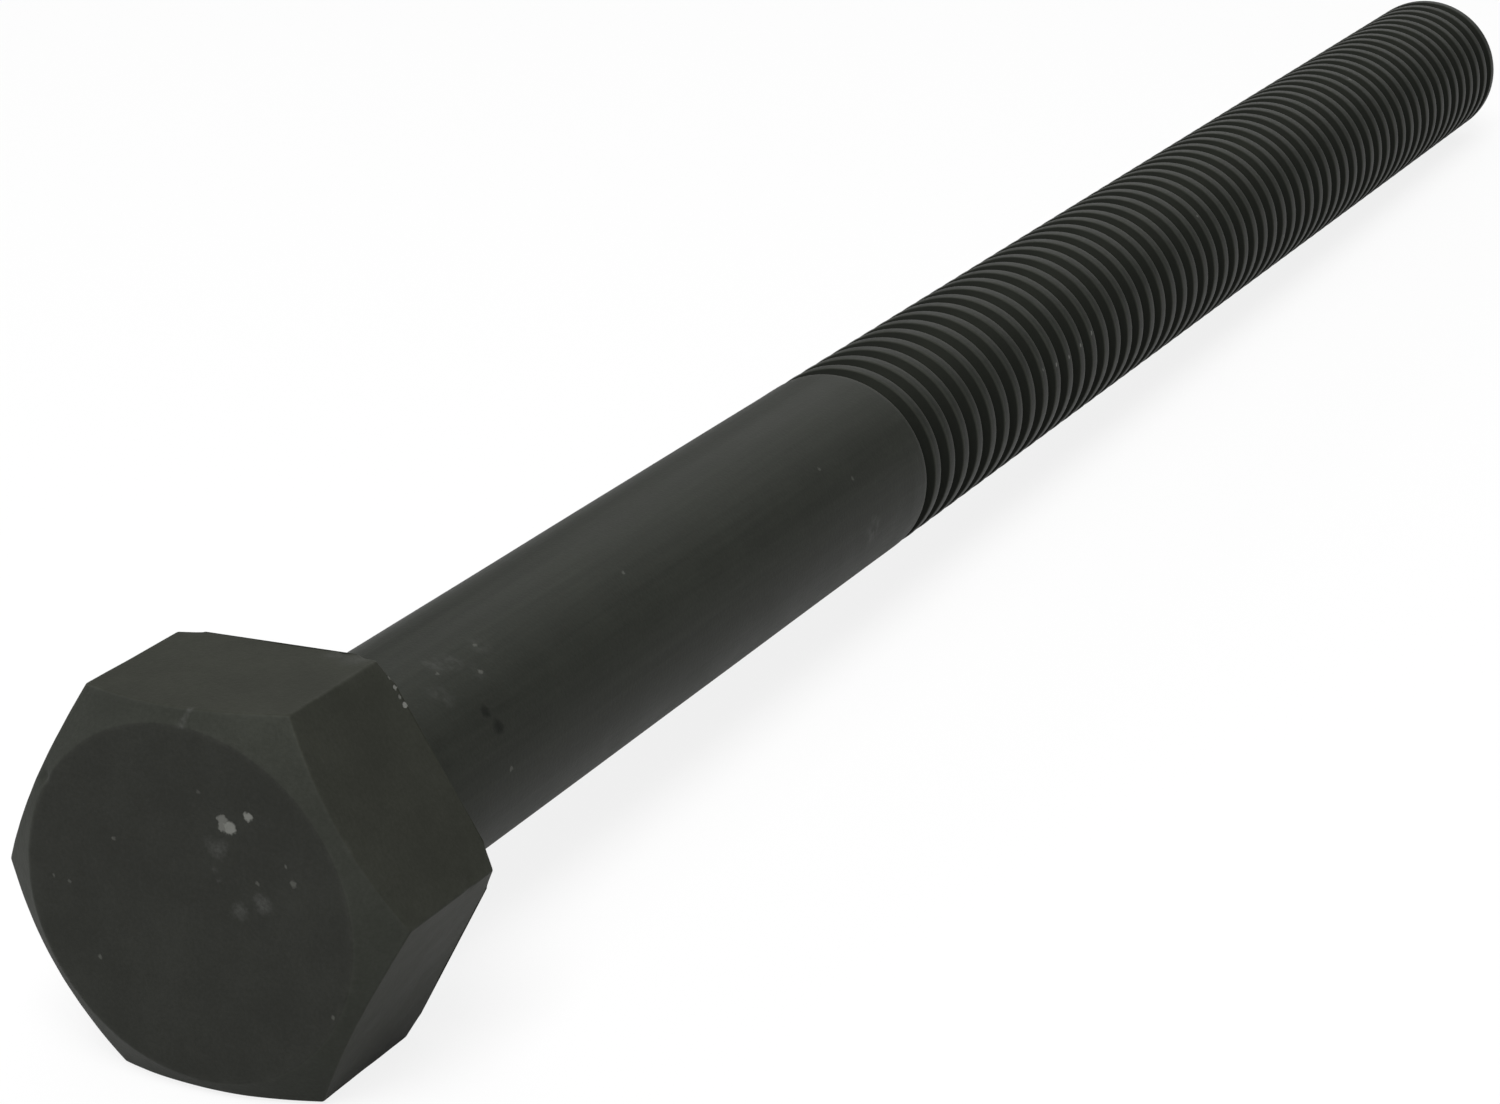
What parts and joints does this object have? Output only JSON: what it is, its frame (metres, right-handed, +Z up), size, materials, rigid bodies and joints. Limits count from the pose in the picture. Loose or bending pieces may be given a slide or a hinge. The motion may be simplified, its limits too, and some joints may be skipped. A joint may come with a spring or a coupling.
{
  "type": "hex bolt",
  "caption": "Long hex bolt with a chamfered hexagonal head, a plain shank and a long right-hand thread to a chamfered point, for clamping parts together.",
  "frame": {"origin": "centre of the head's front face, on the bolt's axis", "axes": "+Y along the bolt's axis from the head to the threaded point, +Z up and square to a flat of the head, so the bolt lies on a flat"},
  "size_m": [0.0146, 0.1266, 0.0126],
  "materials": {
    "head_black_oxide": "matte black oxide on steel",
    "shank_black_oxide": "matte black oxide on steel",
    "thread_black_oxide": "matte black oxide on steel"
  },
  "bodies": {
    "root": {"hex_head": "head_black_oxide", "plain_shank": "shank_black_oxide", "threaded_shank": "thread_black_oxide"}
  },
  "joints": []
}
